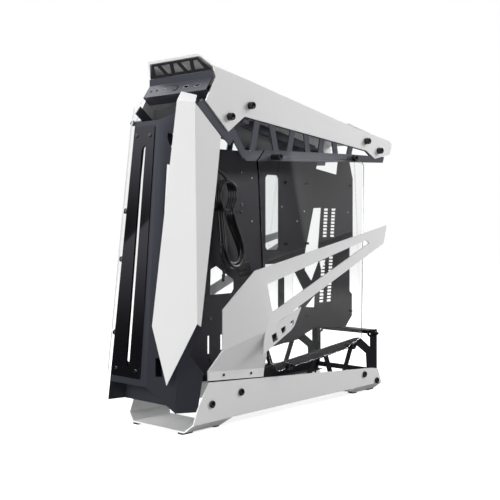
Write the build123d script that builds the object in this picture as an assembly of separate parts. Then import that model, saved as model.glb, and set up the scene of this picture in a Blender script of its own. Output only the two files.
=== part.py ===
from build123d import *
import os
from math import atan2, degrees, hypot, tan, radians

# Full-tower computer case, millimetres. X runs across it, with the board side at +X.
# Y runs from its front (-Y) to its rear, and Z runs up from the surface it stands on.
# Side outlines are (y, z) corners, and front outlines are (x, z) corners.

# Shell sheets
body_half = 85.0
shell_wall = 2.5
pad_height = 2.5
pad_length = 26.0
pad_width = 15.0
floor_half = 67.5
bend_height = 17.0
shoulder_half = 66.0

# Trusses, tray and frames
truss_wall = 3.0
strut_width = 15.0
low_strut_width = 12.0
tray_wall = 1.5
frame_wall = 3.0
bracket_wall = 2.0
bracket_half = 62.0
bracket_flange = 15.0

# Side glass
glass_wall = 4.0
glass_gap = 11.5
glass_standoff_radius = 6.0
front_standoff_radius = 4.0

# Wings, column and blade
wing_half = 124.0
wing_wall = 2.5
column_wall = 2.0
column_lean = 49.0 / 473.0
blade_wall = 2.0
trim_wall = 2.0
cross_wall = 1.5
cross_setback = 31.0

# Fasteners
bolt_radius = 6.5
bolt_shank_radius = 3.0
socket_radius = 2.3
hood_spacer = 5.5
hood_head = 4.5
base_head = 3.5
glass_head = 4.0
screw_radius = 3.4
screw_head = 2.0
clearance = 0.3

# Board and power supply interfaces
board_columns = (0.0, 157.48, 227.33)
board_rows = (0.0, 154.94, 281.94)
board_rear = 287.0
board_low = 168.0
board_standoff_height = 6.5
board_standoff_radius = 3.0
board_thread_radius = 1.5
supply_hole_spacing = 138.0
supply_hole_height = 123.0
supply_hole_radius = 2.0

# Front panel
panel_wall = 1.5
button_radius = 5.2
button_height = 3.2
button_gap = 0.35
ring_width = 1.3
ring_proud = 0.8

# Front-panel cables
lead_diameter = 5.5
thin_diameter = 2.0
hank_near = 8.0
hank_thick = 24.0

low = (Align.CENTER, Align.CENTER, Align.MIN)
hanging = (Align.CENTER, Align.CENTER, Align.MAX)


# Shared helpers

def outline(points):
    return make_face(Polyline(*points, close=True))


def side_plate(points, x, wall):
    return extrude(Plane.YZ.offset(x) * outline(points), wall)


def side_hole(y, z, radius, x, reach):
    return Location((x, y, z)) * (Plane.YZ * Cylinder(radius, reach, align=low))


def bar(start, end, width):
    run = (end[0] - start[0], end[1] - start[1])
    middle = ((start[0] + end[0]) / 2, (start[1] + end[1]) / 2)
    turn = degrees(atan2(run[1], run[0]))
    return Pos(*middle) * (Rot(0, 0, turn) * Rectangle(hypot(*run), width))


def mirrored(piece):
    return mirror(piece, about=Plane.YZ)


def normal_of(points):
    a, b, c = [Vector(*p) for p in points[:3]]
    return (b - a).cross(c - a).normalized()


# The missing coordinate of a corner that lies in the plane of three others
def corner_in(plane, x=None, y=None, z=None):
    a = Vector(*plane[0])
    n = normal_of(plane)
    if x is None:
        x = a.X - (n.Y * (y - a.Y) + n.Z * (z - a.Z)) / n.X
    elif y is None:
        y = a.Y - (n.X * (x - a.X) + n.Z * (z - a.Z)) / n.Y
    else:
        z = a.Z - (n.X * (x - a.X) + n.Y * (y - a.Y)) / n.Z
    return (x, y, z)


def along(start, end, z):
    share = (z - start[2]) / (end[2] - start[2])
    return tuple(s + share * (e - s) for s, e in zip(start, end))


# A folded sheet: each facet lists its corners anticlockwise as seen from outside,
# the wall lies inside, and a wedge fills every fold between two facets.
def folded_sheet(facets, wall):
    sheet = None
    for points in facets:
        face = Face(Wire.make_polygon([Vector(*p) for p in points], close=True))
        slab = extrude(face, amount=wall, dir=normal_of(points) * -1)
        sheet = slab if sheet is None else sheet + slab
    for i, first in enumerate(facets):
        for second in facets[i + 1:]:
            shared = [p for p in first if p in second]
            if len(shared) == 2:
                sheet += fold_wedge(shared, normal_of(first), normal_of(second), wall)
    return sheet


def fold_wedge(edge, normal_a, normal_b, wall):
    start = Vector(*edge[0])
    run = Vector(*edge[1]) - start
    corners = [start, start - normal_a * wall, start - normal_b * wall]
    face = Face(Wire.make_polygon(corners, close=True))
    return extrude(face, amount=run.length, dir=run.normalized())


# A dished bolt head on a shank, standing along +Z
def dished_bolt(head_radius, head_height, shank_length):
    head = Cylinder(head_radius, head_height, align=low)
    head = chamfer(head.edges().group_by(Axis.Z)[-1], 0.8)
    dish = Cone(head_radius * 0.35, head_radius * 0.68, 1.2, align=low)
    socket = extrude(RegularPolygon(socket_radius, 6), head_height * 0.6)
    head -= Pos(0, 0, head_height - 1.2) * dish
    head -= Pos(0, 0, head_height * 0.4) * socket
    if shank_length > 0:
        head += Pos(0, 0, -shank_length) * Cylinder(bolt_shank_radius, shank_length, align=low)
    return head


def pan_screw(radius, height):
    head = Cylinder(radius, height, align=low)
    head = fillet(head.edges().group_by(Axis.Z)[-1], height * 0.4)
    return head - Pos(0, 0, height * 0.5) * Cylinder(radius * 0.4, height, align=low)


def on_side(piece, x, y, z):
    return Location((x, y, z)) * (Plane.YZ * piece)


# Base shell: a folded sheet with two floor bridges, cut to its side outline

base_line = [(-249, 87), (255, 52)]
base_outline = [(-293, 0), (-204, 0), (-188, 17), (200, 17), (214, 0), (289, 0), (293, 14),
                (278, 48), base_line[1], base_line[0], (-277, 40)]
base_bolt_places = [(-241, 48), (-165, 59), (226, 42), (272, 23)]
foot_places = [-285, -212, 222, 281]


def base_shell():
    top = 120
    profile = outline([(-body_half, top), (-body_half, bend_height), (-floor_half, pad_height),
                       (floor_half, pad_height), (body_half, bend_height), (body_half, top)])
    hollow = offset(profile, -shell_wall, kind=Kind.INTERSECTION)
    channel = extrude(Plane.XZ.offset(-400) * (profile - hollow), 800)
    sides = side_plate(base_outline, -body_half - 1, 2 * body_half + 2)
    shell = channel & sides
    for y, z in base_bolt_places:
        shell -= side_hole(y, z, bolt_shank_radius + 0.2, -body_half - 1, 2 * body_half + 2)
    return shell


def foot_pads():
    pads = []
    for y in foot_places:
        for side in (-1, 1):
            pad = fillet(Rectangle(pad_width, pad_length if abs(y) > 250 else pad_width).vertices(), 3)
            place = Pos(side * (floor_half - pad_width / 2 - 1), y * 0.985, 0)
            pads.append(place * extrude(pad, pad_height))
    return pads


# Hood shell: roof, raised visor with triangular shoulders, and two side plates

visor_edge = (-256, 666)
side_corner = (-237, 645)
visor_fold = (-164, 633)
roof_bend = (172, 571)
roof_rear = (323, 548)
hood_low_front = (-155, 562)
hood_low_rear = (234, 522)
hood_lower = [(332, 542), (326, 518), (266, 506), hood_low_rear, hood_low_front,
              (-198, 531), (-256, 581), (-231, 626), side_corner]
hood_bolt_places = [(-196, 558), (-141, 583), (232, 542), (280, 524)]
tail_front = 196
tail_rise = 13.0
tail_half = 58.0


def hood_block(inset):
    half = body_half - inset
    roof = [visor_edge, visor_fold, roof_bend, roof_rear]
    if inset == 0:
        corners = roof + hood_lower
    else:
        fall = (visor_edge[1] - visor_fold[1]) / (visor_fold[0] - visor_edge[0])
        slope = (roof_bend[1] - roof_rear[1]) / (roof_rear[0] - roof_bend[0])
        corners = [(y, z - inset) for y, z in roof]
        corners[0] = (visor_edge[0] - 40, visor_edge[1] - inset + 40 * fall)
        corners[-1] = (roof_rear[0] + 40, roof_rear[1] - inset - 40 * slope)
        corners += [(roof_rear[0] + 40, 450), (visor_edge[0] - 40, 450)]
    block = side_plate(corners, -half, 2 * half)
    shoulder = [(shoulder_half, *visor_edge), (body_half, *side_corner), (body_half, *visor_fold)]
    outward = normal_of(shoulder)
    if outward.X < 0:
        outward = outward * -1
    origin = Vector(*shoulder[0]) - outward * inset
    block = split(block, bisect_by=Plane(origin, z_dir=outward), keep=Keep.BOTTOM)
    mirror_out = Vector(-outward.X, outward.Y, outward.Z)
    mirror_origin = Vector(-origin.X, origin.Y, origin.Z)
    return split(block, bisect_by=Plane(mirror_origin, z_dir=mirror_out), keep=Keep.BOTTOM)


def roof_height(y):
    share = (y - roof_bend[0]) / (roof_rear[0] - roof_bend[0])
    return roof_bend[1] + share * (roof_rear[1] - roof_bend[1])


# The raised tail is a scoop over an opening in the roof, narrow in front and full width behind
def hood_tail():
    front = roof_height(tail_front)
    crest = (tail_front + 8, front + tail_rise)
    end = roof_rear
    top = [(-tail_half, crest[0], crest[1]), (tail_half, crest[0], crest[1]),
           (body_half, *end), (-body_half, *end)]
    right = [(tail_half, crest[0], crest[1]), (body_half, tail_front + 60, roof_height(tail_front + 60)),
             (body_half, *end)]
    left = [(-body_half, *end), (-body_half, tail_front + 60, roof_height(tail_front + 60)),
            (-tail_half, crest[0], crest[1])]
    return folded_sheet([top, right, left], shell_wall)


def hood_shell():
    shell = hood_block(0) - hood_block(shell_wall)
    vent = Box(2 * tail_half - 8, 70, 60, align=(Align.CENTER, Align.MIN, Align.CENTER))
    shell -= Pos(0, tail_front + 6, roof_height(tail_front + 40)) * vent
    shell += hood_tail()
    for y, z in hood_bolt_places:
        shell -= side_hole(y, z, bolt_shank_radius + 0.2, -body_half - 1, 2 * body_half + 2)
    return shell


# Upper truss: one plate cut to a rail, a chord and leaning struts

truss_x = body_half - shell_wall - truss_wall
rail_drop = 1.5
upper_chord = [(-162, 502), (-149, 481), (-104, 483), (301, 499), (306, 512), (178, 511),
               (-98, 504), (-136, 500)]
upper_struts = [((-116, 559), (-131, 500)), ((-76, 556), (-62, 500)), ((-12, 550), (-24, 502)),
                ((29, 546), (35, 504)), ((83, 540), (75, 506)), ((122, 536), (128, 508)),
                ((182, 531), (174, 509))]


def upper_truss():
    low_front = (hood_low_front[0], hood_low_front[1] - rail_drop)
    low_rear = (hood_low_rear[0], hood_low_rear[1] - rail_drop)
    rail = outline([(-192, 548), low_front, low_rear, (252, 510), (300, 510), (300, 532),
                    (240, 545), (-150, 590)])
    shape = rail + outline(upper_chord)
    for start, end in upper_struts:
        shape += bar(start, end, strut_width)
    shape += bar((-268, 577), (-186, 514), 18)
    shape += bar((-196, 545), (-150, 489), 15)
    plate = extrude(Plane.YZ.offset(truss_x) * shape, truss_wall)
    return plate


# Lower truss: front panel, hidden rail, sloping chord, struts, arch and rear post

lower_chord = [(-104, 75), (-104, 94), (-77, 97), (194, 123), (214, 122), (206, 105), (159, 102),
               (11, 85)]
lower_arch = [(206, 105), (214, 122), (256, 95), (256, 134), (278, 134), (278, 40), (243, 40),
              (239, 85)]
lower_struts = [((183, 106), (155, 50)), ((94, 97), (111, 58)), ((58, 94), (38, 62))]
rail_depth = 24.0


def lower_truss():
    top = [(-246, base_line[0][1] - 3), (255, base_line[1][1] - 3)]
    rail = outline([(-246, top[0][1] - rail_depth), top[0], top[1], (278, 46), (278, 26),
                    (255, top[1][1] - rail_depth)])
    panel = outline([(-246, 60), (-246, 103), (-104, 92), (-104, 55)])
    shape = rail + panel + outline(lower_chord) + outline(lower_arch)
    for start, end in lower_struts:
        shape += bar(start, end, low_strut_width)
    return extrude(Plane.YZ.offset(truss_x) * shape, truss_wall)


# Rear frame for the power supply, with a shelf edge that the tray stands on

frame_y = 269.0
frame_top = 134.0
frame_low = 38.0
frame_bar = 11.0


def rear_frame():
    half = truss_x
    ring = outline([(-half, frame_low), (half, frame_low), (half, frame_top), (-half, frame_top)])
    ring -= outline([(-half + 10, frame_low + frame_bar), (half - 10, frame_low + frame_bar),
                     (half - 10, frame_top - frame_bar), (-half + 10, frame_top - frame_bar)])
    for side in (-1, 1):
        ring += Pos(side * supply_hole_spacing / 2, supply_hole_height) * Circle(6.5)
    for side in (-1, 1):
        ring -= Pos(side * supply_hole_spacing / 2, supply_hole_height) * Circle(supply_hole_radius)
    frame = extrude(Plane.XZ.offset(-frame_y - frame_wall) * ring, frame_wall)
    shelf = Box(2 * half, 25, frame_wall, align=(Align.CENTER, Align.MAX, Align.MAX))
    return frame + Pos(0, frame_y + frame_wall, frame_top) * shelf


def frame_knobs():
    knobs = []
    for side in (-1, 1):
        knob = Cylinder(4.6, 6, align=low)
        knob = chamfer(knob.edges().group_by(Axis.Z)[-1], 0.8)
        knob += Cylinder(2.6, 9, align=low)
        knob = on_side(knob, truss_x + truss_wall, frame_y, 126)
        knobs.append(knob if side > 0 else mirrored(knob))
    return knobs


def supply_rails():
    rails = []
    for side in (-1, 1):
        angle = outline([(0, 0), (20, 0), (20, 14), (18.5, 14), (18.5, 1.5), (0, 1.5)])
        rail = extrude(Plane.XZ.offset(-frame_y) * angle, 170)
        rail = Pos(truss_x - 20, 0, 32) * rail
        rails.append(rail if side > 0 else mirrored(rail))
    return rails


# Motherboard tray: one sheet with windows, slots and perforated strips

tray_top = 508.0
strip_top = 399.0
strip_lean = 0.086
strip_width = 14.5
strip_pitch = 7.2
strip_bar = 2.6
tray_outline = [(-289, 80), (-36, 80), (-2, 118), (84, 118), (165, 142), (246, frame_top),
                (273, frame_top), (297, 157), (297, 205), (288, 212), (288, 307), (300, 334),
                (300, 466), (292, 490), (286, tray_top), (-247, tray_top)]
tray_windows = [
    [(-2, 283), (36, 283), (39, 276), (39, 136), (-2, 136)],
    [(58, 275), (94, 262), (123, 223), (110, 200), (100, 172), (82, 150), (58, 134)],
    [(156, 398), (183, 399), (173, 316), (173, 281), (149, 242), (126, 266), (127, 305)],
    [(169, 497), (244, 501), (239, 473), (165, 483)],
    [(-142, 285), (-157, 279), (-159, 231), (-99, 231), (-93, 239), (-93, 256)],
    [(177, 283), (199, 285), (184, 262)],
    [(129, 188), (161, 211), (159, 185)],
    [(-1, 458), (4, 464), (34, 464), (39, 458), (39, 318), (34, 312), (4, 312), (-1, 318)]]
tray_screw_places = [(-71, 466), (-71, 402), (-71, 388), (-158, 185), (-158, 109)]
tray_hole_places = [(-39, 456), (-39, 370), (125, 391), (101, 370), (51, 400), (283, 390)]
tray_slot_places = [(-163, 120, 154), (-128, 124, 153)]
tray_tab = [(40, tray_top - 1), (40, 514.2), (70, 508.8), (70, tray_top - 1)]
strip_runs = [(194, 399, 329), (221, 399, 328), (194, 308, 188), (221, 308, 192)]


def strip_slots(start_y, top, bottom):
    slots = []
    for i in range(int((top - bottom) / strip_pitch)):
        z = top - (i + 0.5) * strip_pitch
        y = start_y - strip_lean * (strip_top - z) + strip_width / 2
        slots.append(Pos(y, z) * Rectangle(strip_width, strip_pitch - strip_bar))
    return slots


def board_holes():
    holes = []
    for column in board_columns:
        for row in board_rows:
            if column < board_columns[2] or row > 0:
                holes.append((board_rear - column, board_low + row))
    return holes


def motherboard_tray():
    cuts = [outline(window) for window in tray_windows]
    cuts += [Pos(y, (a + b) / 2) * Rectangle(5, b - a) for y, a, b in tray_slot_places]
    cuts += [Pos(y, z) * Circle(1.8) for y, z in tray_hole_places]
    for run in strip_runs:
        cuts += strip_slots(*run)
    shape = outline(tray_outline) + outline(tray_tab)
    return extrude(Plane.YZ.offset(-tray_wall) * (shape - cuts), tray_wall)


def board_standoffs():
    studs = []
    for y, z in board_holes():
        stud = extrude(RegularPolygon(board_standoff_radius, 6), board_standoff_height)
        stud -= Pos(0, 0, 1.5) * Cylinder(board_thread_radius, board_standoff_height, align=low)
        studs.append(on_side(stud, 0, y, z))
    return studs


def tray_screws():
    return [on_side(pan_screw(screw_radius, screw_head), 0, y, z) for y, z in tray_screw_places]


# Top bracket: a channel for fans or a radiator, parallel to the roof

bracket_slope = 0.1804
bracket_front = -175.0
bracket_length = 262.0
bracket_place = (-143, 550)


def top_bracket():
    height = bracket_place[1] - bracket_slope * (bracket_front - bracket_place[0])
    frame = Plane((0, bracket_front, height), x_dir=(1, 0, 0), z_dir=(0, bracket_slope, 1))
    from_front = (Align.CENTER, Align.MIN, Align.MIN)
    channel = Box(2 * bracket_half, bracket_length, bracket_wall, align=from_front)
    for side in (-1, 1):
        flange = Box(bracket_wall, bracket_length, bracket_flange, align=from_front)
        channel += Pos(side * (bracket_half - bracket_wall / 2), 0, 0) * flange
    for y, rise in ((22, 24), (bracket_length - 20, bracket_wall)):
        channel += Pos(0, y, 0) * Box(2 * truss_x, 16, bracket_wall, align=from_front)
        for side in (-1, 1):
            tab = Box(bracket_wall, 16, rise, align=from_front)
            channel += Pos(side * (truss_x - bracket_wall / 2), y, 0) * tab
    for i in range(4):
        for x in (-52.5, 52.5):
            slot = Pos(x, 60 + i * 46, 0) * Box(4.4, 34, 9)
            channel -= slot
    return frame * channel


# Front column: a folded sheet that leans forward at its foot

column_top = 553.0
column_low = 80.0
flange_low = 47.0
column_face = -278.0
fold_top = (-13.0, column_face, column_top)
fold_low = (8.0, column_face - column_lean * (column_top - column_low), column_low)
far_top = (-77.0, column_face, column_top)
far_low = (-90.0, fold_low[1], column_low)
far_foot = along(far_top, far_low, flange_low)
bend_low = (60.0, -306.0, 38.0)
mid_plane = (fold_low, bend_low, fold_top)
bend_top = corner_in(mid_plane, x=38.0, z=575.0)
corner_foot = (80.5, -272.0, 38.0)
corner_plane = (bend_low, corner_foot, bend_top)
front_windows = [[(5, 519), (5, 529), (30, 529), (30, 470), (14, 497)],
                 [(7, 473), (30, 465), (30, 386), (10, 386)],
                 [(11, 365), (30, 365), (30, 300), (13, 328)],
                 [(19, 131), (30, 132), (33, 99), (22, 99)]]
slot_outline = [(-50.5, 500), (-45, 507), (-40.5, 509), (-38.5, 114), (-42, 110), (-48, 121)]


def front_cut(points, y_from, y_to):
    return extrude(Plane.XZ.offset(-y_to) * outline(points), y_to - y_from)


def column_facets():
    flange_depth = 22.0
    far_flange = [
        far_top, (far_top[0] + 6, far_top[1] + flange_depth, column_top),
        (far_low[0] + 7, far_low[1] + flange_depth + 2, 118), (far_low[0] + 9.5, far_low[1] + 33, 100),
        (far_foot[0] + 9.5, far_foot[1] + 33, flange_low), far_foot]
    plane = (far_foot, far_top, far_flange[1])
    far_flange = [far_top, far_flange[1]] + [corner_in(plane, y=p[1], z=p[2]) for p in far_flange[2:5]]
    far_flange.append(far_foot)
    front = [far_top, far_low, fold_low, fold_top]
    middle = [fold_top, fold_low, bend_low, bend_top]
    corner = [bend_top, bend_low, corner_foot, corner_in(corner_plane, x=81.6, z=104),
              corner_in(corner_plane, x=67, z=137), corner_in(corner_plane, x=75, z=185),
              corner_in(corner_plane, x=bend_top[0] + 21, z=540)]
    return [far_flange, front, middle, corner]


def front_column():
    column = folded_sheet(column_facets(), column_wall)
    for window in front_windows:
        column -= front_cut(window, -360, -240)
    return column - front_cut(slot_outline, -360, -240)


def face_at(z):
    return column_face - column_lean * (column_top - z)


# A sheet's thickness measured along Y on the leaning face
def lean_depth(wall):
    return wall * hypot(1, column_lean)


cross_top = 545.0


# Inner plate behind the column, trimmed to its sides and open where the slot is clear
def column_cross_plate(column):
    top = cross_top
    right_low = corner_in(corner_plane, y=face_at(flange_low) + cross_setback, z=flange_low)
    right_top = corner_in(corner_plane, y=face_at(top) + cross_setback, z=top)
    points = [(far_foot[0] + 6.5, right_low[1], flange_low), (right_low[0] - 1, *right_low[1:]),
              (right_top[0] - 1, *right_top[1:]), (far_top[0] + 6.5, right_top[1], top)]
    plate = folded_sheet([points], cross_wall)
    opening = [(-100, 112), (-51, 112), (-51, 514), (-100, 514)]
    return plate - front_cut(opening, -360, -200) - column


# Gloss strip on the column's front facet
def trim_points():
    return [(-75, 544), (-20, 544), (-8, 92), (-86, 92)]


def front_trim():
    strip = fillet(outline(trim_points()).vertices(), 5)
    strip -= outline(slot_outline)
    slab = extrude(Plane.XZ.offset(240) * strip, 140)
    near = folded_sheet([[(x, face_at(z) - lean_depth(trim_wall), z) for x, z in
                          ((-110, 570), (-110, 60), (30, 60), (30, 570))]], trim_wall)
    return slab & near


def trim_screws():
    screws = []
    for x, z in ((-67, 527), (-31, 526), (-73, 105), (-20, 105)):
        lean = degrees(atan2(column_lean, 1))
        place = Location((x, face_at(z) - lean_depth(trim_wall), z)) * Rot(90 - lean, 0, 0)
        screws.append(place * pan_screw(screw_radius, screw_head))
    return screws


# Front blade: white sheet with a front facet, a side facet and a top flap

blade_fold_top = (84.0, -282.0, 576.0)
blade_fold_low = (92.0, -284.0, 194.0)
blade_front_plane = (blade_fold_top, (57.0, -299.0, 580.0), blade_fold_low)
blade_side_plane = (blade_fold_top, blade_fold_low, (85.0, -218.0, 521.0))


def front_blade():
    top_left = blade_front_plane[1]
    front = [blade_fold_top, top_left, corner_in(blade_front_plane, x=24, z=188),
             corner_in(blade_front_plane, x=47, z=86), blade_fold_low]
    side = [blade_fold_top, blade_fold_low, corner_in(blade_side_plane, y=-275, z=188),
            corner_in(blade_side_plane, y=-230, z=443), (85.0, -218.0, 521.0)]
    flap_plane = (top_left, blade_fold_top, (73.0, -266.0, 591.0))
    flap = [top_left, blade_fold_top, flap_plane[2], corner_in(flap_plane, x=45, z=599)]
    return folded_sheet([front, side, flap], blade_wall)


# Two brackets carry the blade in front of the column's turned facet
def blade_brackets():
    brackets = []
    for z in (505.0, 225.0):
        inner = [corner_in(mid_plane, x=x, z=z) for x in (30, 12)]
        outer = [corner_in(blade_front_plane, x=x, z=z) for x in (58, 76)]
        gap = blade_wall + clearance
        points = [(inner[0][0], inner[0][1] - clearance), (inner[1][0], inner[1][1] - clearance),
                  (outer[0][0], outer[0][1] + gap * 1.2), (outer[1][0], outer[1][1] + gap * 1.2)]
        plate = extrude(Plane.XY.offset(z) * outline(points), bracket_wall)
        brackets.append(plate)
    return brackets


# Side wing: strip, flare, front facet, triangular frame and vent part

strip_front = (body_half, -250.0, 106.0)
strip_rear = (body_half, -100.5, 95.0)
wing_notch = (wing_half, -142.0, 171.0)
flare_plane = (strip_front, strip_rear, wing_notch)
wing_front_low = corner_in(flare_plane, x=body_half + 20.4, z=143.0)
wing_front_plane = (wing_front_low, wing_notch, (*wing_front_low[:2], 215.0))
wing_peak = corner_in(wing_front_plane, y=-165.0, z=281.0)
wing_frame_plane = (wing_notch, (wing_half, 253.0, 361.0), wing_peak)
wing_gap = [(-133, 255), (177, 331), (188, 324), (-121, 203)]
vent_holes = [[(-122, 161), (-108, 166), (-101, 151), (-115, 146)],
              [(-96, 171), (-82, 176), (-80, 165), (-89, 160)],
              [(-67, 182), (-57, 185), (-57, 176), (-66, 172)]]


def side_wing():
    strip = [(body_half, -250.0, 90.0), (body_half, -103.0, 79.0), strip_rear, strip_front]
    flare_corner = corner_in(flare_plane, y=-108.6, z=121.0)
    flare = [strip_front, strip_rear, flare_corner, wing_notch, wing_front_low]
    front = [wing_front_low, wing_notch, wing_peak, wing_front_plane[2]]
    join = corner_in(wing_frame_plane, y=-110.0, z=183.0)
    tip = [corner_in(wing_frame_plane, y=y, z=z) for y, z in ((239, 323), (253, 361))]
    frame = [wing_notch, join, *tip, wing_peak]
    vent_plane = (wing_notch, (wing_half - 6, -142.0, 127.0), join)
    vent_end = [corner_in(vent_plane, y=y, z=z) for y, z in ((-63, 165), (-54, 173), (-38, 207))]
    vent = [wing_notch, vent_plane[1], *vent_end, join]
    wing = folded_sheet([strip, flare, front, frame, vent], wing_wall)
    for gap in [wing_gap, *vent_holes]:
        wing -= side_plate(gap, wing_half - 30, 60)
    return wing


def wing_screws():
    screws = []
    for y, z in ((-211, 96), (-138, 90)):
        screw = on_side(pan_screw(2.4, 1.6), body_half, y, z)
        screws += [screw, mirrored(screw)]
    return screws


# Side glass and the cylinders that carry it

glass_x = body_half + glass_gap
right_glass_points = [(-116, 502), (-136, 481), (-132, 455), (-119, 243), (-104, 121), (-101, 106),
                      (-76, 87), (135, 106), (195, 126), (203, 489), (184, 501), (159, 509)]
left_glass_points = [(-230, 608), (-262, 582), (-270, 541), (-325, 95), (-262, 92), (-254, 146),
                     (-112, 140), (-103, 118), (-101, 106), (-76, 87), (135, 106), (203, 126),
                     (211, 489), (184, 503)]
truss_standoffs = [(-75, 491), (170, 501), (-43, 93), (163, 110)]
flange_standoffs = [(-262, 554), (-281, 389), (-291, 300), (-306, 166)]


def glass_pane(points, holes):
    pane = side_plate(points, glass_x, glass_wall)
    for y, z in holes:
        pane -= side_hole(y, z, bolt_shank_radius + clearance, glass_x - 1, glass_wall + 2)
    return pane


def glass_right():
    return glass_pane(right_glass_points, truss_standoffs)


def glass_left():
    return mirrored(glass_pane(left_glass_points, truss_standoffs + flange_standoffs))


def flange_face(y, z):
    line = along(far_top, far_low, z)
    return -line[0] - 6.0 / 22.0 * (y - line[1])


def glass_standoffs():
    studs = []
    for y, z in truss_standoffs:
        start = truss_x + truss_wall
        stud = on_side(Cylinder(glass_standoff_radius, glass_x - start, align=low), start, y, z)
        studs += [stud, mirrored(stud)]
    for y, z in flange_standoffs:
        start = flange_face(y - front_standoff_radius, z) + clearance
        stud = on_side(Cylinder(front_standoff_radius, glass_x - start, align=low), start, y, z)
        studs.append(mirrored(stud))
    return studs


def glass_bolts():
    bolts = []
    for y, z in truss_standoffs:
        bolt = on_side(dished_bolt(bolt_radius, glass_head, glass_wall), glass_x + glass_wall, y, z)
        bolts += [bolt, mirrored(bolt)]
    for y, z in flange_standoffs:
        bolt = on_side(dished_bolt(5.0, glass_head, glass_wall), glass_x + glass_wall, y, z)
        bolts.append(mirrored(bolt))
    return bolts


def hood_spacers():
    rings = []
    for y, z in hood_bolt_places:
        ring = Cylinder(bolt_radius + 0.4, hood_spacer, align=low)
        ring -= Cylinder(bolt_shank_radius + 0.2, hood_spacer, align=low)
        ring = on_side(ring, body_half, y, z)
        rings += [ring, mirrored(ring)]
    return rings


def hood_bolts():
    bolts = []
    for y, z in hood_bolt_places:
        bolt = dished_bolt(bolt_radius, hood_head, hood_spacer + shell_wall)
        bolt = on_side(bolt, body_half + hood_spacer, y, z)
        bolts += [bolt, mirrored(bolt)]
    return bolts


def base_bolts():
    bolts = []
    for y, z in base_bolt_places:
        bolt = on_side(dished_bolt(bolt_radius, base_head, shell_wall), body_half, y, z)
        bolts += [bolt, mirrored(bolt)]
    return bolts


# Front grille: a trapezoid plate in the mouth, leaning forward at its top

grille_wall = 2.0
grille_top = (visor_edge[0] + 2, visor_edge[1] - 6)
grille_low = (side_corner[0] + 1, side_corner[1] - 7)
grille_top_half = 60.0
grille_low_half = 81.0
grille_pitch = 26.0


def front_grille():
    run = (grille_low[0] - grille_top[0], grille_low[1] - grille_top[1])
    height = hypot(*run)
    frame = Plane((0, grille_low[0], grille_low[1]), x_dir=(1, 0, 0), z_dir=(0, run[1], -run[0]))
    plate = outline([(-grille_low_half, 0), (grille_low_half, 0), (grille_top_half, height),
                     (-grille_top_half, height)])
    low_edge = height * 0.18
    high_edge = height * 0.84
    for i in range(5):
        x = (i - 2) * grille_pitch
        wide = grille_pitch - 1.0
        narrow = wide * 0.42
        bottom, top = (wide, narrow) if i % 2 == 0 else (narrow, wide)
        plate -= outline([(x - bottom / 2, low_edge), (x + bottom / 2, low_edge),
                          (x + top / 2, high_edge), (x - top / 2, high_edge)])
    return frame * extrude(plate, -grille_wall)


# Front panel: a recess face, the leaning panel and a flange folded back below it

panel_half = body_half - shell_wall
panel_top = (-238.0, 624.0)
panel_low = (-254.0, 601.0)
panel_flange = (-238.0, 588.0)
panel_recess = (-238.0, 637.0)


def panel_frame():
    run = (panel_low[0] - panel_top[0], panel_low[1] - panel_top[1])
    middle = ((panel_low[0] + panel_top[0]) / 2, (panel_low[1] + panel_top[1]) / 2)
    return Plane((0, *middle), x_dir=(1, 0, 0), z_dir=(0, run[1], -run[0]))


def io_panel():
    def row(point):
        return [(-panel_half, *point), (panel_half, *point)]
    bands = [panel_recess, panel_top, panel_low, panel_flange]
    facets = [[row(a)[0], row(b)[0], row(b)[1], row(a)[1]] for a, b in zip(bands, bands[1:])]
    panel = folded_sheet(facets, panel_wall)
    frame = panel_frame()
    panel -= frame * Pos(button_x, 0, 0) * Cylinder(button_radius + ring_width, 12)
    for x in usb_places:
        panel -= frame * Pos(x, 0, 0) * Box(13.4, 6.4, 12)
    panel -= frame * Pos(usb_c_place, 0, 0) * Box(9.6, 4.0, 12)
    for x in jack_places:
        panel -= frame * Pos(x, 0, 0) * Cylinder(2.6, 12)
    return panel


button_x = -3.0
usb_places = (25.0, 54.0)
usb_c_place = -32.0
jack_places = (-69.0, -53.0)


board_depth = 13.8


def button_ring():
    ring = Cylinder(button_radius + ring_width, panel_wall + ring_proud, align=low)
    ring -= Cylinder(button_radius + button_gap, 20)
    return panel_frame() * Pos(button_x, 0, -panel_wall) * ring


def power_button():
    cap = Cylinder(button_radius, button_height, align=low)
    cap = fillet(cap.edges().group_by(Axis.Z)[-1], 0.5)
    return panel_frame() * Pos(button_x, 0, -button_height + 0.9) * cap


def button_switch():
    top = button_height + 2.3
    body = Box(11, 11, board_depth - top, align=hanging)
    body += Cylinder(2, 1.2, align=low)
    return panel_frame() * Pos(button_x, 0, -top) * body


def usb_ports():
    ports = []
    for x in usb_places:
        shell = Box(13.0, 6.0, board_depth + 0.2, align=hanging)
        shell -= Box(12.0, 5.0, 11, align=hanging)
        shell += Pos(0, -1.2, -2) * Box(11.0, 1.6, 10, align=hanging)
        ports.append(panel_frame() * Pos(x, 0, 0.2) * shell)
    return ports


def usb_c_port():
    shell = SlotOverall(9.2, 3.6)
    body = extrude(shell, -12)
    body -= extrude(SlotOverall(8.4, 2.8), -10)
    body += Pos(0, 0, -2) * Box(6.4, 0.9, 9, align=hanging)
    return panel_frame() * Pos(usb_c_place, 0, 0.2) * body


def audio_jacks():
    jacks = []
    for x in jack_places:
        jack = Cylinder(2.5, 12, align=hanging)
        jack -= Cylinder(1.75, 9, align=hanging)
        jacks.append(panel_frame() * Pos(x, 0, 0.3) * jack)
    return jacks


# The board behind the panel carries the sockets and the switch
def port_board():
    board = Box(150, 20, 1.6, align=hanging)
    return panel_frame() * Pos(-5, 0, -board_depth) * board


# Rounded housing under the panel, standing on the cross plate's top edge

housing_height = 31.7
housing_x = (-64.0, 33.0)
housing_y = (-250.0, -214.0)


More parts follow.
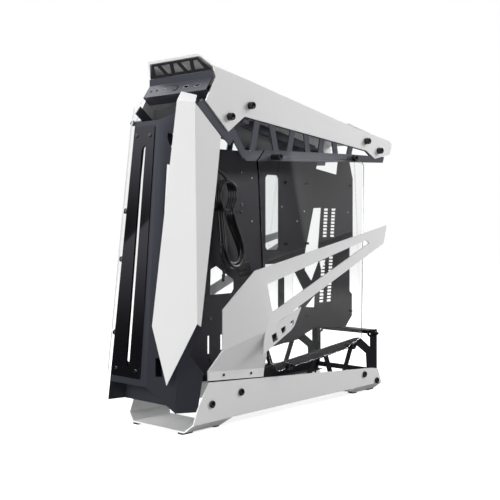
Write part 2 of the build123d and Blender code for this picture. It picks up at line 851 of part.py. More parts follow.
def io_housing():
    shape = Rectangle(housing_x[1] - housing_x[0], housing_y[1] - housing_y[0])
    shape = fillet(shape.vertices(), 11)
    body = extrude(Plane.XY.offset(cross_top) * shape, housing_height)
    return Pos(sum(housing_x) / 2, sum(housing_y) / 2, 0) * body


# Front-panel cables: a lead down from the housing, a tied hank, its connector and two thin leads

cable_x = hank_near + hank_thick / 2
lead_route = [(16, -228, cross_top), (16, -228, 522), (18, -214, 496), (20, -188, 476), (20, -158, 462),
              (cable_x, -140, 443)]
hank_points = [(-146, 444), (-121, 428), (-124, 381), (-92, 332), (-88, 304), (-108, 287),
               (-134, 299), (-142, 345), (-148, 381), (-155, 428)]
thin_routes = [[(15, -139, 336), (14, -149, 330), (14, -150, 316), (14, -147, 302), (15, -143, 290),
                (16, -138, 277)],
               [(20, -138, 331), (19, -150, 324), (19, -152, 310), (19, -150, 297), (18, -145, 284),
                (18, -142, 270)]]


def cable_tube(route, diameter):
    radii = []
    for a, b, c in zip(route, route[1:], route[2:]):
        before = Vector(*b) - Vector(*a)
        after = Vector(*c) - Vector(*b)
        turn = before.get_angle(after)
        shorter = min(before.length, after.length)
        radii.append(0.45 * shorter / tan(radians(turn) / 2))
    print("bend radii", [round(r, 1) for r in radii], "for a cord of", diameter)
    path = FilletPolyline(*route, radius=radii)
    start = Plane(origin=route[0], z_dir=Vector(*route[1]) - Vector(*route[0]))
    return sweep(start * Circle(diameter / 2), path=path)


def cable_lead():
    return cable_tube(lead_route, lead_diameter)


def cable_hank():
    shape = fillet(outline(hank_points).vertices(), 9)
    body = extrude(Plane.YZ.offset(hank_near) * shape, hank_thick)
    ends = body.faces().sort_by(Axis.X)
    return fillet(ends[0].edges() + ends[-1].edges(), 6)


def cable_tie():
    band = Box(hank_thick + 3.4, 33, 4)
    band -= Box(hank_thick + 0.6, 30.4, 6)
    head = Box(5, 4, 6)
    tie = band + Pos(hank_thick / 2 + 3, 4, 0) * head
    return Pos(cable_x, -137.5, 392) * tie


# The connector's neck and the thin leads end on the hank
def cable_connector(hank):
    body = fillet(Box(13, 25, 27).edges().filter_by(Axis.X), 2)
    body += Cylinder(3.5, 37.5, align=low)
    return Pos(cable_x, -84, 273) * (Rot(20, 0, 0) * body) - hank


def thin_leads(hank):
    return [cable_tube(route, thin_diameter) - hank for route in thin_routes]


def lead_connectors():
    caps = []
    for route in thin_routes:
        end = route[-1]
        cap = Pos(end[0], end[1], end[2] - clearance) * Box(3, 5.5, 14, align=hanging)
        caps.append(cap)
    return caps


# Every piece by its node name

def make_pieces():
    wing = side_wing()
    top_truss = upper_truss()
    low_truss = lower_truss()
    column = front_column()
    hank = cable_hank()
    return {
        "base_shell": [base_shell()],
        "foot_pads": foot_pads(),
        "hood_shell": [hood_shell()],
        "upper_truss_right": [top_truss],
        "upper_truss_left": [mirrored(top_truss)],
        "lower_truss_right": [low_truss],
        "lower_truss_left": [mirrored(low_truss)],
        "rear_frame": [rear_frame()],
        "frame_knobs": frame_knobs(),
        "supply_rails": supply_rails(),
        "motherboard_tray": [motherboard_tray()],
        "board_standoffs": board_standoffs(),
        "tray_screws": tray_screws(),
        "top_bracket": [top_bracket()],
        "front_column": [column],
        "column_cross_plate": [column_cross_plate(column)],
        "front_trim": [front_trim()],
        "trim_screws": trim_screws(),
        "front_blade": [front_blade()],
        "blade_brackets": blade_brackets(),
        "side_wing_right": [wing],
        "side_wing_left": [mirrored(wing)],
        "wing_screws": wing_screws(),
        "glass_right": [glass_right()],
        "glass_left": [glass_left()],
        "glass_standoffs": glass_standoffs(),
        "glass_bolts": glass_bolts(),
        "hood_spacers": hood_spacers(),
        "hood_bolts": hood_bolts(),
        "base_bolts": base_bolts(),
        "front_grille": [front_grille()],
        "io_panel": [io_panel()],
        "io_housing": [io_housing()],
        "port_board": [port_board()],
        "button_ring": [button_ring()],
        "power_button": [power_button()],
        "button_switch": [button_switch()],
        "usb_ports": usb_ports(),
        "usb_c_port": [usb_c_port()],
        "audio_jacks": audio_jacks(),
        "cable_lead": [cable_lead()],
        "cable_hank": [hank],
        "cable_tie": [cable_tie()],
        "cable_connector": [cable_connector(hank)],
        "thin_leads": thin_leads(hank),
        "lead_connectors": lead_connectors(),
    }


def write_parts():
    pieces = make_pieces()
    box = Compound(children=[s for group in pieces.values() for s in group]).bounding_box()
    middle = (box.min.Y + box.max.Y) / 2
    shift = Location((0, -middle, -box.min.Z))
    print("box", box.min, box.max, "moved by", -middle, -box.min.Z)
    for name, group in pieces.items():
        solids = [s for piece in group for s in (shift * piece).solids()]
        shape = solids[0] if len(solids) == 1 else Compound(children=solids)
        export_step(shape, f"parts/{name}.step")


os.makedirs("parts", exist_ok=True)
write_parts()
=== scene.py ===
import bpy
import bmesh
import math
from mathutils import Matrix, Vector
from mathutils.geometry import tessellate_polygon


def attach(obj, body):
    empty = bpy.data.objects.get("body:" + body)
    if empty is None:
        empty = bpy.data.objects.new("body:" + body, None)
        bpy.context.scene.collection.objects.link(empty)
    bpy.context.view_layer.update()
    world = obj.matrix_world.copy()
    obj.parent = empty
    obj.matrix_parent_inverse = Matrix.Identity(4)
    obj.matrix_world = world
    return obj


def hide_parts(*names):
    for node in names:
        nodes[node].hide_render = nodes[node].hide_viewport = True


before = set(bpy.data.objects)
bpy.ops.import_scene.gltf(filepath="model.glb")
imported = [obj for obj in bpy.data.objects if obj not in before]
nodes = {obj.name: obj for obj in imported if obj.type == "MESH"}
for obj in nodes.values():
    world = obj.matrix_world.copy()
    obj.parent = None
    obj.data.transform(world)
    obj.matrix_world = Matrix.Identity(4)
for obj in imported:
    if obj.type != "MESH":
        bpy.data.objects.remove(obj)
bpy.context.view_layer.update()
print("frame loaded,", len(nodes), "nodes")

# points are written in the drawing's millimetres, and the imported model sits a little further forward
drawing = {"forward": 0.5276, "body": "case"}


def at(x, y, z):
    return Vector((x, y - drawing["forward"], z)) / 1000


# camera: level, 1.8 m from the middle, out past the front right corner
camera = {"place": (1.2, -1.38163, 0.3715), "turn": 41.95, "lens": 65.16, "sensor": 36.0, "rise": -0.059,
          "clip": (0.05, 60)}


def buildCamera():
    data = bpy.data.cameras.new("camera")
    data.lens, data.sensor_width, data.sensor_fit = camera["lens"], camera["sensor"], "HORIZONTAL"
    data.shift_y = camera["rise"]
    data.clip_start, data.clip_end = camera["clip"]
    made = bpy.data.objects.new("camera", data)
    made.location = camera["place"]
    made.rotation_euler = (math.radians(90), 0, math.radians(camera["turn"]))
    bpy.context.scene.collection.objects.link(made)
    bpy.context.scene.camera = made


buildCamera()
bpy.context.scene.view_settings.view_transform = "Standard"
print("camera placed")


# shader tools: a value is a number, a colour or another node's output
def feed(tree, value, socket):
    if isinstance(value, bpy.types.NodeSocket):
        tree.links.new(value, socket)
    else:
        socket.default_value = value


def addNode(tree, kind, values=None, **settings):
    node = tree.nodes.new(kind)
    for key, value in settings.items():
        setattr(node, key, value)
    for key, value in (values or {}).items():
        feed(tree, value, node.inputs[key])
    return node


def combine(tree, kind, *values):
    return addNode(tree, "ShaderNodeMath", dict(enumerate(values)), operation=kind).outputs[0]


# the first value where the share is 0, the second where it is 1
def mixed(tree, share, first, second):
    return addNode(tree, "ShaderNodeMix", {0: share, 2: first, 3: second}, data_type="FLOAT").outputs[0]


# a smooth step between two levels while the source crosses the span
def spanOf(tree, source, span, levels=(0.0, 1.0)):
    values = {"Value": source, "From Min": span[0], "From Max": span[1], "To Min": levels[0],
              "To Max": levels[1]}
    return addNode(tree, "ShaderNodeMapRange", values, interpolation_type="SMOOTHSTEP").outputs[0]


def newMaterial(name):
    material = bpy.data.materials.new(name)
    material.use_nodes = True
    return material, material.node_tree, material.node_tree.nodes["Principled BSDF"]


def setShader(tree, shader, values):
    for label, value in values.items():
        feed(tree, value, shader.inputs[label])


def newGroup(name, inputs, outputs):
    number = "NodeSocketFloat"
    group = bpy.data.node_groups.new(name, "ShaderNodeTree")
    for label, value in inputs.items():
        group.interface.new_socket(label, in_out="INPUT", socket_type=number).default_value = value
    for label in outputs:
        group.interface.new_socket(label, in_out="OUTPUT", socket_type=number)
    return group, group.nodes.new("NodeGroupInput").outputs, group.nodes.new("NodeGroupOutput").inputs


# the orange peel and fine grain of powder coat or moulded plastic
grainLook = {
    "inputs": {"Grain Size": 0.0006, "Peel Size": 0.004, "Grain Share": 0.6, "Roughness": 0.4,
               "Roughness Spread": 0.08},
    "outputs": ["Height", "Roughness", "Cloud"],
    "grainDetail": 2.0, "peelDetail": 1.0, "cloudScale": 14.0, "cloudDetail": 3.0,
}


def buildGrain():
    group, given, result = newGroup("coatGrain", grainLook["inputs"], grainLook["outputs"])
    place = addNode(group, "ShaderNodeTexCoord").outputs["Object"]

    def noise(scale, detail):
        values = {"Vector": place, "Scale": scale, "Detail": grainLook[detail]}
        return addNode(group, "ShaderNodeTexNoise", values).outputs["Fac"]

    grain = noise(combine(group, "DIVIDE", 1.0, given["Grain Size"]), "grainDetail")
    peel = noise(combine(group, "DIVIDE", 1.0, given["Peel Size"]), "peelDetail")
    cloud = noise(grainLook["cloudScale"], "cloudDetail")
    centred = combine(group, "SUBTRACT", cloud, 0.5)
    rough = combine(group, "MULTIPLY_ADD", centred, given["Roughness Spread"], given["Roughness"])
    feed(group, mixed(group, given["Grain Share"], peel, grain), result["Height"])
    feed(group, rough, result["Roughness"])
    feed(group, cloud, result["Cloud"])
    return group


coatGrain = buildGrain()

# what a finish has where it says nothing else; grain, peel and depth are in metres
plainFinish = dict(grain=0.0005, peel=0.003, coat=0.0, coatRough=0.08, metal=0.0, sheen=(1, 1, 1), gloss=0.5)

# colour and second tone, roughness and its spread, grain's share, bump and its depth;
# sheen tints the reflections, and a slot is named where a piece made here has the finish
finishes = {
    "whitePaint": dict(colour=(0.80, 0.80, 0.805), tone=(0.77, 0.77, 0.772), rough=0.40, spread=0.10,
                       share=0.5, bump=0.10, depth=0.00008),
    # the next three are one satin black painted at three levels of light: lighter on the upper trusses and
    # top bracket where light falls, darker on the tray for painted shade under the hood, darkest on the low
    # parts for painted shade low down
    "trussPaintPaintedLight": dict(colour=(0.085, 0.087, 0.104), tone=(0.070, 0.072, 0.086), rough=0.42, spread=0.10,
                       share=0.6, bump=0.16, depth=0.00010, sheen=(0.84, 0.87, 1.0)),
    "columnPaint": dict(colour=(0.026, 0.027, 0.033), tone=(0.020, 0.021, 0.026), rough=0.36, spread=0.08,
                        share=0.8, bump=0.12, depth=0.00006, sheen=(0.78, 0.81, 1.0), gloss=0.62,
                        slot="grey_paint"),
    "blackPaintPaintedShade": dict(colour=(0.014, 0.014, 0.017), tone=(0.010, 0.010, 0.012), rough=0.42, spread=0.08,
                       share=0.9, bump=0.08, depth=0.00005, sheen=(0.92, 0.90, 1.0), gloss=0.22,
                       slot="black_paint"),
    "glossBlack": dict(colour=(0.004, 0.004, 0.005), tone=(0.003, 0.003, 0.004), rough=0.02, spread=0.01,
                       share=0.2, bump=0.01, depth=0.00002, grain=0.002, peel=0.02, coat=0.3,
                       sheen=(0.80, 0.77, 1.0)),
    "trayPaintPaintedShade": dict(colour=(0.030, 0.028, 0.032), tone=(0.024, 0.0225, 0.0255), rough=0.42, spread=0.08,
                      share=0.9, bump=0.08, depth=0.00005, sheen=(0.92, 0.90, 1.0)),
    "screwSteel": dict(colour=(0.20, 0.195, 0.20), tone=(0.12, 0.12, 0.12), rough=0.22, spread=0.10,
                       share=0.7, bump=0.05, depth=0.00004, grain=0.0004, peel=0.002, metal=1.0),
    "blackSteel": dict(colour=(0.030, 0.029, 0.030), tone=(0.020, 0.020, 0.021), rough=0.30, spread=0.12,
                       share=0.7, bump=0.06, depth=0.00005, grain=0.0004, peel=0.002, coat=0.2, metal=0.6),
    "rubber": dict(colour=(0.022, 0.022, 0.022), tone=(0.030, 0.030, 0.030), rough=0.75, spread=0.15,
                   share=0.8, bump=0.4, depth=0.00015, peel=0.002),
    "blackPlastic": dict(colour=(0.022, 0.022, 0.024), tone=(0.017, 0.017, 0.019), rough=0.45, spread=0.12,
                         share=0.8, bump=0.2, depth=0.0001, peel=0.002, slot="black_plastic"),
    "portMetal": dict(colour=(0.62, 0.63, 0.65), tone=(0.50, 0.51, 0.53), rough=0.28, spread=0.15,
                      share=0.8, bump=0.05, depth=0.00003, grain=0.0003, peel=0.002, metal=1.0),
    "cableSheath": dict(colour=(0.007, 0.007, 0.007), tone=(0.012, 0.011, 0.010), rough=0.30, spread=0.12,
                        share=0.6, bump=0.10, depth=0.00006, grain=0.0006, peel=0.004, coat=1.0),
}


def buildFinish(name, look):
    look = {**plainFinish, **look}
    material, tree, shader = newMaterial(name)
    grain = addNode(tree, "ShaderNodeGroup", node_tree=coatGrain)
    for label, key in (("Grain Size", "grain"), ("Peel Size", "peel"), ("Grain Share", "share"),
                       ("Roughness", "rough"), ("Roughness Spread", "spread")):
        grain.inputs[label].default_value = look[key]
    colours = {0: grain.outputs["Cloud"], 6: (*look["colour"], 1), 7: (*look["tone"], 1)}
    tones = addNode(tree, "ShaderNodeMix", colours, data_type="RGBA")
    bump = addNode(tree, "ShaderNodeBump", {"Strength": look["bump"], "Distance": look["depth"],
                                            "Height": grain.outputs["Height"]})
    setShader(tree, shader, {
        "Base Color": tones.outputs[2], "Roughness": grain.outputs["Roughness"], "Normal": bump.outputs[0],
        "Coat Weight": look["coat"], "Coat Roughness": look["coatRough"], "Metallic": look["metal"],
        "Specular Tint": (*look["sheen"], 1), "Specular IOR Level": look["gloss"]})
    return material


materials = {name: buildFinish(name, look) for name, look in finishes.items()}

paneGlass = {"colour": (0.975, 0.985, 0.982), "index": 1.47, "clear": (0.93, 0.935, 0.935)}


# light goes straight through to what stands behind, and the eye sees the real refraction
def buildGlass():
    material, tree, shader = newMaterial("paneGlass")
    setShader(tree, shader, {"Base Color": (*paneGlass["colour"], 1), "Roughness": 0.0,
                             "IOR": paneGlass["index"], "Transmission Weight": 1.0})
    path = addNode(tree, "ShaderNodeLightPath")
    either = combine(tree, "MAXIMUM", path.outputs["Is Shadow Ray"], path.outputs["Is Diffuse Ray"])
    clear = addNode(tree, "ShaderNodeBsdfTransparent", {"Color": (*paneGlass["clear"], 1)})
    choice = addNode(tree, "ShaderNodeMixShader", {0: either, 1: shader.outputs[0], 2: clear.outputs[0]})
    feed(tree, choice.outputs[0], tree.nodes["Material Output"].inputs["Surface"])
    return material


materials["paneGlass"] = buildGlass()

# the ground edge of the far pane: milky against the light behind it
paneEdge = {"colour": (0.86, 0.88, 0.885), "rough": 0.35, "clear": 0.5}


def buildPaneEdge():
    material, tree, shader = newMaterial("paneEdge")
    grain = addNode(tree, "ShaderNodeGroup", node_tree=coatGrain)
    grain.inputs["Roughness"].default_value = paneEdge["rough"]
    setShader(tree, shader, {"Base Color": (*paneEdge["colour"], 1), "IOR": paneGlass["index"],
                             "Roughness": grain.outputs["Roughness"],
                             "Transmission Weight": paneEdge["clear"]})
    return material


materials["paneEdge"] = buildPaneEdge()
print("materials made")

# mesh tools: blocks with broken edges, rods and flat sheets, gathered into one mesh
meshLook = {"bevelSteps": 2, "bevelRound": 0.5, "rodSides": 28, "sharpFrom": 35}


def blockInto(bm, size, place, broken, turn):
    made = bmesh.ops.create_cube(bm, size=1.0)["verts"]
    for corner in made:
        corner.co = [share * length for share, length in zip(corner.co, size)]
    edges = list(dict.fromkeys(e for v in made for e in v.link_edges))
    result = bmesh.ops.bevel(bm, geom=edges, offset=broken, segments=meshLook["bevelSteps"],
                             affect="EDGES", profile=meshLook["bevelRound"])
    made = list({v for f in result["faces"] for v in f.verts} | {v for v in made if v.is_valid})
    bmesh.ops.transform(bm, matrix=Matrix.Translation(place) @ turn, verts=made)


# each entry holds a block's size, the centres of its copies and how far its edges are broken
def blocksInto(bm, blocks, place, turn=Matrix.Identity(4)):
    for size, centres, broken in blocks.values():
        for centre in centres:
            blockInto(bm, size, Vector(place) + turn @ Vector(centre), broken, turn)


def rodInto(bm, place, length, radii, turn):
    shape = Matrix.Translation(place) @ turn
    sides = meshLook["rodSides"]
    angles = [2 * math.pi * i / sides for i in range(sides)]
    lower, upper = [
        [bm.verts.new(shape @ Vector((radius * math.cos(angle), radius * math.sin(angle), height)))
         for angle in angles] for radius, height in zip(radii, (0, length))]
    for i in range(sides):
        after = (i + 1) % sides
        bm.faces.new((lower[i], lower[after], upper[after], upper[i]))
    bm.faces.new(lower[::-1])
    bm.faces.new(upper)


# a flat sheet from an outline and its openings; place turns (across, up) into the sheet's two faces
def sheetInto(bm, rim, openings, place):
    rings = [rim, *openings]
    corners = [corner for ring in rings for corner in ring]
    faces = tessellate_polygon([[Vector((*corner, 0)) for corner in ring] for ring in rings])
    sides = [[bm.verts.new(place(*corner, side)) for corner in corners] for side in (0, 1)]
    for face in faces:
        for side in sides:
            bm.faces.new([side[i] for i in face])
    first = 0
    for ring in rings:
        for i in range(len(ring)):
            a, b = first + i, first + (i + 1) % len(ring)
            bm.faces.new((sides[0][a], sides[0][b], sides[1][b], sides[1][a]))
        first += len(ring)


def pieceFrom(bm, name, material, standsFor=()):
    bmesh.ops.recalc_face_normals(bm, faces=bm.faces)
    mesh = bpy.data.meshes.new(name)
    bm.to_mesh(mesh)
    bm.free()
    mesh.transform(Matrix.Translation((0, -drawing["forward"] / 1000, 0)) @ Matrix.Scale(0.001, 4))
    mesh.materials.append(materials[material])
    for face in mesh.polygons:
        face.use_smooth = True
    mesh.set_sharp_from_angle(angle=math.radians(meshLook["sharpFrom"]))
    made = bpy.data.objects.new(name, mesh)
    bpy.context.scene.collection.objects.link(made)
    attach(made, drawing["body"])
    if standsFor:
        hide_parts(*standsFor)
    return made


# the main cable's plug: a flat moulded body with a socket rim, a key, grip ribs and a tapered neck
plug = {
    "place": (22, -86, 277), "turn": -38.0, "tilt": 14.0,
    "blocks": {
        "body": ((10.0, 24.0, 14.88), [(0, 0, 4.56)], 1.2),
        "rim": ((8.4, 26.4, 9.6), [(0, 0, -7.2)], 0.7),
        "key": ((1.4, 6.0, 8.16), [(4.6, 0, -7.2)], 0.4),
        "ribs": ((10.7, 14.88, 0.9), [(0, 0, 1.44), (0, 0, 3.6), (0, 0, 5.76), (0, 0, 7.92)], 0.25),
    },
    "neck": {"up": 11.52, "length": 7.0, "radii": (3.6, 3.0)},
}


def buildPlug():
    turn = (Matrix.Rotation(math.radians(plug["turn"]), 4, "Z")
            @ Matrix.Rotation(math.radians(plug["tilt"]), 4, "X"))
    neck = plug["neck"]
    bm = bmesh.new()
    blocksInto(bm, plug["blocks"], plug["place"], turn)
    start = Vector(plug["place"]) + turn @ Vector((0, 0, neck["up"]))
    rodInto(bm, start, neck["length"], neck["radii"], turn)
    return pieceFrom(bm, "cablePlug", "blackPlastic", standsFor=["cable_connector"])


mainPlug = buildPlug()

# front-panel cables: one long cable in a tied hank, and two thin leads
# a turn of the hank runs down far, across low, up near and over the top, and shrinks below the tie
mainCable = {
    "diameter": 0.0055,
    "lead": [(16, -228, 545), (16, -228, 522), (18, -214, 496), (20, -188, 478), (18, -160, 468),
             (14, -138, 460), (11.5, -126, 451)],
    "layers": (10.9, 17.0, 23.1, 29.2),
    "far": [(-122, 440), (-116, 427), (-117, 409), (-127, 390), (-120, 366), (-105, 342), (-93, 320),
            (-87, 302)],
    "low": [(-95, 284), (-113, 277), (-130, 285)],
    "near": [(-139, 304), (-141, 330), (-144, 360), (-147, 390), (-153, 408), (-154, 426), (-148, 440)],
    "top": (-135, 447),
    "end": [(29.2, -122, 440), (29.2, -116, 427), (29.2, -117, 409), (29.2, -127, 390), (29, -118, 366),
            (28, -104, 342), (26, -94, 320), (23, -89, 304), (21, -87, 290)],
    "shrinks": (0.0, 0.09, 0.04), "shrinkFrom": 392, "shrinkOver": 100, "middle": -116, "narrowing": 1.4,
}


def hankPoints():
    route = list(mainCable["lead"])
    layers = mainCable["layers"]
    for here, after, shrink in zip(layers, layers[1:], mainCable["shrinks"]):
        for y, z in mainCable["far"] + mainCable["low"] + mainCable["near"]:
            below = shrink * max(0.0, (mainCable["shrinkFrom"] - z) / mainCable["shrinkOver"])
            inward = (mainCable["middle"] - y) * below * mainCable["narrowing"]
            route.append((here, y + inward, z + below * mainCable["shrinkOver"]))
        route.append(((here + after) / 2, *mainCable["top"]))
    return route + mainCable["end"]


# the radius is on the points, because a curve's bounds grow by it
cableLook = {"steps": 10, "roundness": 5}


def buildCable(name, points, diameter):
    data = bpy.data.curves.new(name, "CURVE")
    data.dimensions = "3D"
    data.resolution_u = cableLook["steps"]
    spline = data.splines.new("NURBS")
    spline.points.add(len(points) - 1)
    for point, place in zip(spline.points, points):
        point.co = (*at(*place), 1)
        point.radius = diameter / 2
    spline.order_u = 3
    spline.use_endpoint_u = True
    data.bevel_depth = 1.0
    data.bevel_resolution = cableLook["roundness"]
    data.materials.append(materials["cableSheath"])
    made = bpy.data.objects.new(name, data)
    bpy.context.scene.collection.objects.link(made)
    return made


def lineLength(made):
    depth, made.data.bevel_depth = made.data.bevel_depth, 0
    bpy.context.view_layer.update()
    mesh = bpy.data.meshes.new_from_object(made.evaluated_get(bpy.context.evaluated_depsgraph_get()))
    made.data.bevel_depth = depth
    places = [v.co for v in mesh.vertices]
    return sum((b - a).length for a, b in zip(places, places[1:]))


mainRoute = hankPoints()
mainPiece = buildCable("panelCable", mainRoute, mainCable["diameter"])
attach(mainPiece, drawing["body"])
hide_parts("cable_lead", "cable_hank")
mainLength = lineLength(mainPiece)
print("main cable", round(mainLength, 3), "m")

thinLeads = {
    "diameter": 0.002,
    "routes": [[(15, -139, 336), (14, -149, 330), (14, -150, 316), (14, -147, 302), (15, -143, 290),
                (16, -138, 277)],
               [(20, -138, 331), (19, -150, 324), (19, -152, 310), (19, -150, 297), (18, -145, 284),
                (18, -142, 270)]],
}

# small two-way plugs on the thin leads, measured down from the lead's end
leadCap = {
    "body": ((2.6, 5.1, 13.4), [(0, 0, -7.3)], 0.35),
    "head": ((3.0, 5.5, 3.92), [(0, 0, -2.26)], 0.35),
    "ribs": ((3.0, 5.5, 0.6), [(0, 0, -6.3), (0, 0, -7.8), (0, 0, -9.3)], 0.15),
    "latches": ((2.9, 1.0, 2.2), [(0, -1.27, -11.4), (0, 1.27, -11.4)], 0.1),
}


def buildLeadCap(name, place):
    bm = bmesh.new()
    blocksInto(bm, leadCap, place)
    return pieceFrom(bm, name, "blackPlastic", standsFor=["lead_connectors"])


for count, route in enumerate(thinLeads["routes"], 1):
    lead = buildCable(f"thinLead{count}", route, thinLeads["diameter"])
    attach(lead, drawing["body"])
    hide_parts("thin_leads")
    cap = buildLeadCap(f"leadCap{count}", route[-1])
    round(lineLength(lead), 3)
print("cables laid")

# the plate behind the column, open behind the column's two upper windows
crossPlate = {
    "top": 545.0, "face": -248.4, "lean": 0.1034, "thick": 1.5,
    "rim": [(-80.4, 47), (60.7, 47), (39.8, 545), (-70.5, 545), (-71.4, 514), (-51, 514), (-51, 112),
            (-82.6, 112), (-81, 98.2), (-79.3, 84.7)],
    "openings": [[(-33, 500), (-2, 500), (-2, 530), (-33, 530)],
                 [(-32, 386), (-2, 386), (-2, 474), (-32, 474)]],
}


def buildCrossPlate():
    def place(across, up, side):
        lead = crossPlate["face"] - crossPlate["lean"] * (crossPlate["top"] - up) + drawing["forward"]
        return Vector((across, lead + side * crossPlate["thick"], up))

    bm = bmesh.new()
    sheetInto(bm, crossPlate["rim"], crossPlate["openings"], place)
    pieceFrom(bm, "crossPlate", "columnPaint", standsFor=["column_cross_plate"])


buildCrossPlate()

# thin black sheets behind the vent openings of the two wings: painted shade, a dark sheet standing for the
# shade seen through the openings
ventShadeSheet = {"behind": 87.5, "tilt": (0.99, 0.047, -0.135), "thick": 1.0,
             "rim": [(-132, 141), (-66, 170), (-50, 182), (-46, 197), (-108, 180), (-132, 169)]}


def buildVentShadeSheet(name, hand):
    def place(across, up, side):
        leanX, leanY, leanZ = ventShadeSheet["tilt"]
        inward = ventShadeSheet["behind"] - side * ventShadeSheet["thick"] - leanY * across - leanZ * up
        return Vector((hand * inward / leanX, across, up))

    bm = bmesh.new()
    sheetInto(bm, ventShadeSheet["rim"], [], place)
    pieceFrom(bm, name, "blackPaintPaintedShade")


buildVentShadeSheet("ventShadeSheetRight", 1)
buildVentShadeSheet("ventShadeSheetLeft", -1)
print("plates made")

# each carried-over node: its finish, and how far its edges are broken, in millimetres
dressing = {
    "whitePaint": {"base_shell": 0.5, "hood_shell": 0.5, "front_blade": 0.5, "side_wing_right": 0.5,
                   "side_wing_left": 0.5},
    # the upper trusses and top bracket take the satin black with painted light; the tray and the low frame
    # parts take it with painted shade
    "trussPaintPaintedLight": {"upper_truss_right": 0.4, "upper_truss_left": 0.4, "top_bracket": 0.4},
    "columnPaint": {"front_column": 0.5, "io_panel": 0.4},
    "blackPaintPaintedShade": {"lower_truss_right": 0.4, "lower_truss_left": 0.4, "rear_frame": 0.4,
                   "supply_rails": 0.3, "blade_brackets": 0.3},
    "trayPaintPaintedShade": {"motherboard_tray": 0.25},
    "glossBlack": {"front_trim": 0.4},
    "screwSteel": {"tray_screws": 0.1, "trim_screws": 0.1, "board_standoffs": 0.15},
    "blackSteel": {"frame_knobs": 0.2, "wing_screws": 0.1, "glass_standoffs": 0.2, "glass_bolts": 0.2,
                   "hood_spacers": 0.15, "hood_bolts": 0.2, "base_bolts": 0.2, "button_ring": 0.12},
    "rubber": {"foot_pads": 0.3},
    "blackPlastic": {"front_grille": 0.3, "io_housing": 0.4, "port_board": 0.15, "power_button": 0.1,
                     "button_switch": 0.3, "audio_jacks": 0.1, "cable_tie": 0.4},
    "portMetal": {"usb_ports": 0.1, "usb_c_port": 0.1},
    "paneGlass": {"glass_right": 0.4, "glass_left": 0.4},
}

# a node's weld is in metres and its angles are in degrees; without the flattening, long slivers
# between its bolt holes would crease the base's broad sides
edgeWork = {"weld": 0.000002, "steps": 2, "sharpFrom": 28, "flattened": ["base_shell"], "flatWithin": 0.3,
            "groundEdged": ["glass_left"], "edgeFacing": 0.5, "faceWeight": 100}


def dressNode(name, material, broken):
    piece = nodes[name]
    piece.data.materials.clear()
    piece.data.materials.append(materials[material])
    ground = name in edgeWork["groundEdged"]
    if ground:
        piece.data.materials.append(materials["paneEdge"])
    for face in piece.data.polygons:
        face.material_index = int(ground and abs(face.normal.x) < edgeWork["edgeFacing"])
        face.use_smooth = True
    weld = piece.modifiers.new("weld", "WELD")
    weld.merge_threshold = edgeWork["weld"]
    if name in edgeWork["flattened"]:
        whole = piece.modifiers.new("wholeFaces", "DECIMATE")
        whole.decimate_type = "DISSOLVE"
        whole.angle_limit = math.radians(edgeWork["flatWithin"])
    bevel = piece.modifiers.new("brokenEdge", "BEVEL")
    bevel.width = broken / 1000
    bevel.segments = edgeWork["steps"]
    bevel.limit_method = "ANGLE"
    bevel.angle_limit = math.radians(edgeWork["sharpFrom"])
    bevel.use_clamp_overlap = True
    bevel.miter_outer = "MITER_ARC"
    normals = piece.modifiers.new("flatFaces", "WEIGHTED_NORMAL")
    normals.keep_sharp = False
    normals.weight = edgeWork["faceWeight"]


for finish, group in dressing.items():
    for name, broken in group.items():
        dressNode(name, finish, broken)
print("nodes dressed")

# studio: a white sweep for the eye, a darker hall for the reflections, soft lamps
studio = {
    "floor": {"size": 14.0, "colour": 0.86, "bounce": 0.50, "glow": 0.70, "rough": 0.9},
    "soft": {"rise": (-0.3, 0.7), "levels": (0.14, 0.36)},
    "lamps": [("frontLamp", (-1.3, -3.3, 1.3), (0, -0.2, 0.40), 1.8, 143.0),
              ("topLamp", (-0.3, -0.4, 3.4), (0, 0, 0.3), 2.2, 14.0),
              ("rearLamp", (1.8, 2.1, 1.7), (0, 0.1, 0.40), 1.6, 74.0)],
}

# the hall in a mirrored direction: cards at the left and rear with slanted edges, a lit strip, a ceiling
hall = {
    "left": {"edge": (-0.917, 0.795, 1.0), "from": 0.304, "blur": (-0.002, 0.002), "side": (0.1, -0.3),
             "lowRise": (0.0, 0.15), "low": (0.0, 0.85), "highRise": (0.12, 0.24), "high": (0.0, 0.95)},
    "rear": {"edge": (-0.780, 0.625, 0.17), "from": 0.0, "blur": (-0.003, 0.003), "levels": (0.0, 0.42),
             "back": (0.0, 0.2), "side": (-0.1, 0.1), "rise": (-0.13, 0.03)},
    "ceiling": {"rise": (0.28, 0.72), "levels": (0.03, 2.0)},
    "strip": {"edge": (0.67, -0.74, 0.0), "from": 0.0, "blur": (0.94, 0.985), "levels": (0.0, 4.0)},
}


# a light card: how far the direction lies beyond its edge, as a level
def cardOf(tree, direction, card):
    across = addNode(tree, "ShaderNodeVectorMath", {0: direction, 1: card["edge"]}, operation="DOT_PRODUCT")
    past = combine(tree, "SUBTRACT", across.outputs["Value"], card["from"])
    return spanOf(tree, past, card["blur"], card.get("levels", (0.0, 1.0)))


def mirroredHall(tree, direction):
    left, rear, ceiling = hall["left"], hall["rear"], hall["ceiling"]
    x, y, z = addNode(tree, "ShaderNodeSeparateXYZ", {0: direction}).outputs
    above = cardOf(tree, direction, left)
    below = combine(tree, "SUBTRACT", 1.0, above)
    lower = combine(tree, "MULTIPLY", below, spanOf(tree, z, left["lowRise"], left["low"]))
    upper = combine(tree, "MULTIPLY", above, spanOf(tree, z, left["highRise"], left["high"]))
    wall = combine(tree, "MULTIPLY", combine(tree, "ADD", lower, upper), spanOf(tree, x, left["side"]))
    card = cardOf(tree, direction, rear)
    for part, fade in ((y, "back"), (x, "side"), (z, "rise")):
        card = combine(tree, "MULTIPLY", card, spanOf(tree, part, rear[fade]))
    high = spanOf(tree, z, ceiling["rise"], ceiling["levels"])
    strip = cardOf(tree, direction, hall["strip"])
    return combine(tree, "ADD", combine(tree, "ADD", wall, card), combine(tree, "ADD", high, strip))


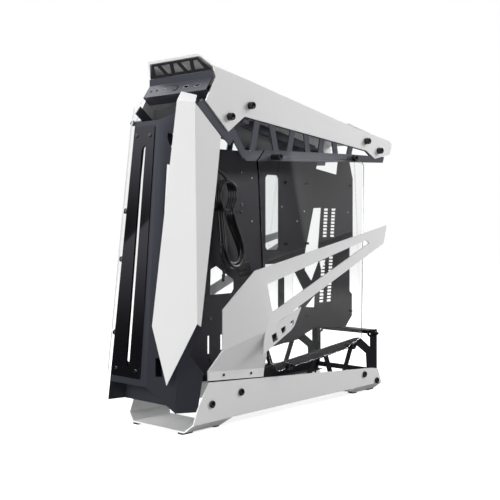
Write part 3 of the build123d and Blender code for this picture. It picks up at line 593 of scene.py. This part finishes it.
# the white sweep is seen directly and straight through the panes, but not by way of a mirrored bounce
def seenDirectly(tree):
    path = addNode(tree, "ShaderNodeLightPath").outputs
    straight = combine(tree, "LESS_THAN", path["Glossy Depth"], 0.5)
    through = combine(tree, "MULTIPLY", path["Is Transmission Ray"], straight)
    return path, combine(tree, "MAXIMUM", path["Is Camera Ray"], through)


def buildWorld():
    world = bpy.data.worlds.new("studio")
    bpy.context.scene.world = world
    world.use_nodes = True
    tree = world.node_tree
    direction = addNode(tree, "ShaderNodeTexCoord").outputs["Generated"]
    path, direct = seenDirectly(tree)
    height = addNode(tree, "ShaderNodeSeparateXYZ", {0: direction}).outputs[2]
    soft = spanOf(tree, height, studio["soft"]["rise"], studio["soft"]["levels"])
    level = mixed(tree, path["Is Glossy Ray"], soft, mirroredHall(tree, direction))
    setShader(tree, tree.nodes["Background"],
              {"Color": (1, 1, 1, 1), "Strength": mixed(tree, direct, level, 1.0)})


def buildFloor():
    look = studio["floor"]
    half = look["size"] / 2
    mesh = bpy.data.meshes.new("floor")
    mesh.from_pydata([(-half, -half, 0), (half, -half, 0), (half, half, 0), (-half, half, 0)], [],
                     [(0, 1, 2, 3)])
    floor = bpy.data.objects.new("floor", mesh)
    bpy.context.scene.collection.objects.link(floor)
    floor.visible_glossy = False
    material, tree, shader = newMaterial("studioFloor")
    _, direct = seenDirectly(tree)
    setShader(tree, shader, {
        "Base Color": mixed(tree, direct, look["bounce"], look["colour"]), "Roughness": look["rough"],
        "Specular IOR Level": 0.0, "Emission Color": (1, 1, 1, 1),
        "Emission Strength": combine(tree, "MULTIPLY", direct, look["glow"])})
    mesh.materials.append(material)


def buildLamps():
    for name, place, target, size, power in studio["lamps"]:
        data = bpy.data.lights.new(name, "AREA")
        data.shape, data.size, data.energy = "SQUARE", size, power
        lamp = bpy.data.objects.new(name, data)
        lamp.location = place
        lamp.visible_glossy = False
        lamp.rotation_euler = (Vector(target) - Vector(place)).to_track_quat("-Z", "Y").to_euler()
        bpy.context.scene.collection.objects.link(lamp)


buildWorld()
buildFloor()
buildLamps()
print("studio set")

bpy.context.view_layer.update()
